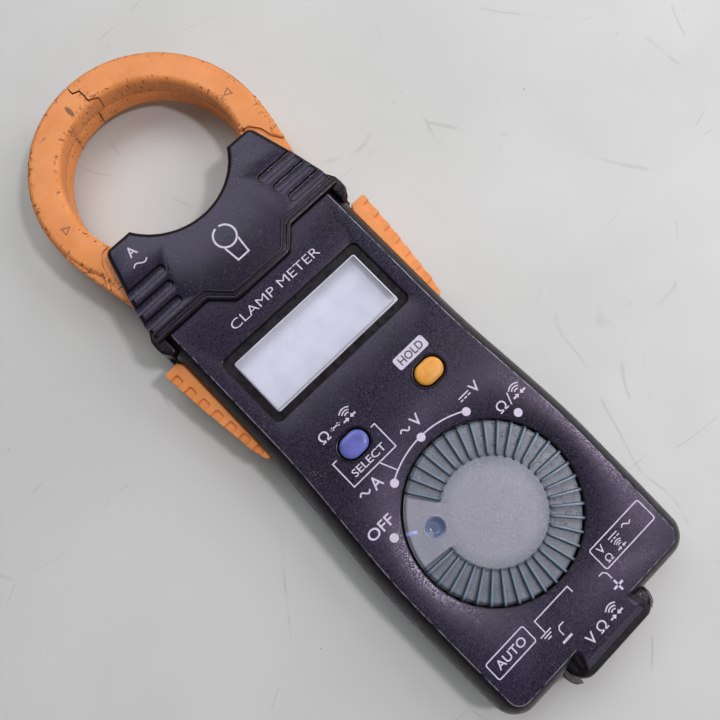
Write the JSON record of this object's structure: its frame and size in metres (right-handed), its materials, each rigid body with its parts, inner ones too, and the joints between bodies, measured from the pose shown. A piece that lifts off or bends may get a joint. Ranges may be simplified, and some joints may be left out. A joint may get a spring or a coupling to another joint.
{
  "type": "clamp meter",
  "caption": "Pocket clamp meter with two hinged ring jaws opened by side levers, a round range dial, a display, two push buttons and a socket nose.",
  "frame": {"origin": "centre of the bounding box in X and Y, on the back face", "axes": "+X right, +Y towards the jaws, +Z out of the front face"},
  "size_m": [0.0604, 0.175, 0.016],
  "materials": {
    "case_black": "fine texture, satin",
    "clear_lens": "clear, polished",
    "lcd": "satin",
    "white_plastic": "satin",
    "strip_rubber": "matt",
    "board_green": "satin",
    "brass": "plated",
    "chip_black": "satin",
    "steel": "plated",
    "core_steel": "laminated",
    "coil_wire": "enamelled wire",
    "dome_rubber": "matt",
    "jaw_orange": "satin",
    "dial_grey": "satin, fine texture",
    "mark_blue": "satin",
    "button_blue": "satin",
    "button_amber": "satin"
  },
  "bodies": {
    "case": {"rear_case": "case_black", "front_case": "case_black", "head_cover": "case_black", "battery_cover": "case_black", "display_window": "clear_lens", "lcd_panel": "lcd", "lcd_frame": "white_plastic", "contact_strips": "strip_rubber", "circuit_board": "board_green", "dial_tracks": "brass", "board_parts": "chip_black", "main_chip": "chip_black", "buzzer": "brass", "battery_holder": "chip_black", "coin_cell": "steel", "battery_plus_clip": "brass", "battery_minus_spring": "brass", "battery_cover_screw": "steel", "case_screws": "steel", "jaw_pins": "steel", "lever_pins": "steel", "terminal_block": "chip_black", "minus_socket": "brass", "plus_socket": "brass", "socket_leads": "brass", "fixed_core": "core_steel", "fixed_core_clamp": "chip_black", "select_dome": "dome_rubber", "hold_dome": "dome_rubber"},
    "left_jaw": {"left_jaw_front": "jaw_orange", "left_jaw_rear": "jaw_orange", "left_core": "core_steel", "left_coil": "coil_wire", "left_jaw_spring": "steel"},
    "right_jaw": {"right_jaw_front": "jaw_orange", "right_jaw_rear": "jaw_orange", "right_core": "core_steel", "right_coil": "coil_wire", "right_jaw_spring": "steel"},
    "left_lever": {"left_lever": "jaw_orange"},
    "right_lever": {"right_lever": "jaw_orange"},
    "dial": {"dial_knob": "dial_grey", "dial_mark": "mark_blue", "dial_rotor": "white_plastic", "dial_wipers": "brass", "dial_screw": "steel", "detent_ball": "steel", "detent_spring": "steel"},
    "select_button": {"select_button": "button_blue"},
    "hold_button": {"hold_button": "button_amber"}
  },
  "joints": [
    {"name": "left_jaw_hinge", "type": "hinge", "parent": "case", "child": "left_jaw", "pos_m": [-0.0185, 0.0312, 0.0075], "axis": [0, 0, 1], "range_deg": [0, 20], "stiffness_Nm_per_rad": 0.3, "springref_deg": -5.73},
    {"name": "right_jaw_hinge", "type": "hinge", "parent": "case", "child": "right_jaw", "pos_m": [0.0185, 0.0312, 0.0075], "axis": [0, 0, 1], "range_deg": [-20, 0], "stiffness_Nm_per_rad": 0.3, "springref_deg": 5.73},
    {"name": "left_lever_hinge", "type": "hinge", "parent": "case", "child": "left_lever", "pos_m": [-0.0229, -0.0043, 0.0073], "axis": [0, 0, 1], "range_deg": [-10.4, 0]},
    {"name": "right_lever_hinge", "type": "hinge", "parent": "case", "child": "right_lever", "pos_m": [0.0229, -0.0043, 0.0073], "axis": [0, 0, 1], "range_deg": [0, 10.4]},
    {"name": "dial_turn", "type": "hinge", "parent": "case", "child": "dial", "pos_m": [0, -0.0473, 0.0145], "axis": [0, 0, 1], "range_deg": [-120, 0]},
    {"name": "select_press", "type": "slide", "parent": "case", "child": "select_button", "axis": [0, 0, -1], "range_m": [0, 0.0008], "stiffness_N_per_m": 1500, "springref_m": -0.0003, "deforming": ["select_dome"]},
    {"name": "hold_press", "type": "slide", "parent": "case", "child": "hold_button", "axis": [0, 0, -1], "range_m": [0, 0.0008], "stiffness_N_per_m": 1500, "springref_m": -0.0003, "deforming": ["hold_dome"]}
  ],
  "couplings": [
    {"joint": "left_lever_hinge", "follows": "left_jaw_hinge", "ratio": -0.52},
    {"joint": "right_lever_hinge", "follows": "right_jaw_hinge", "ratio": -0.52}
  ]
}
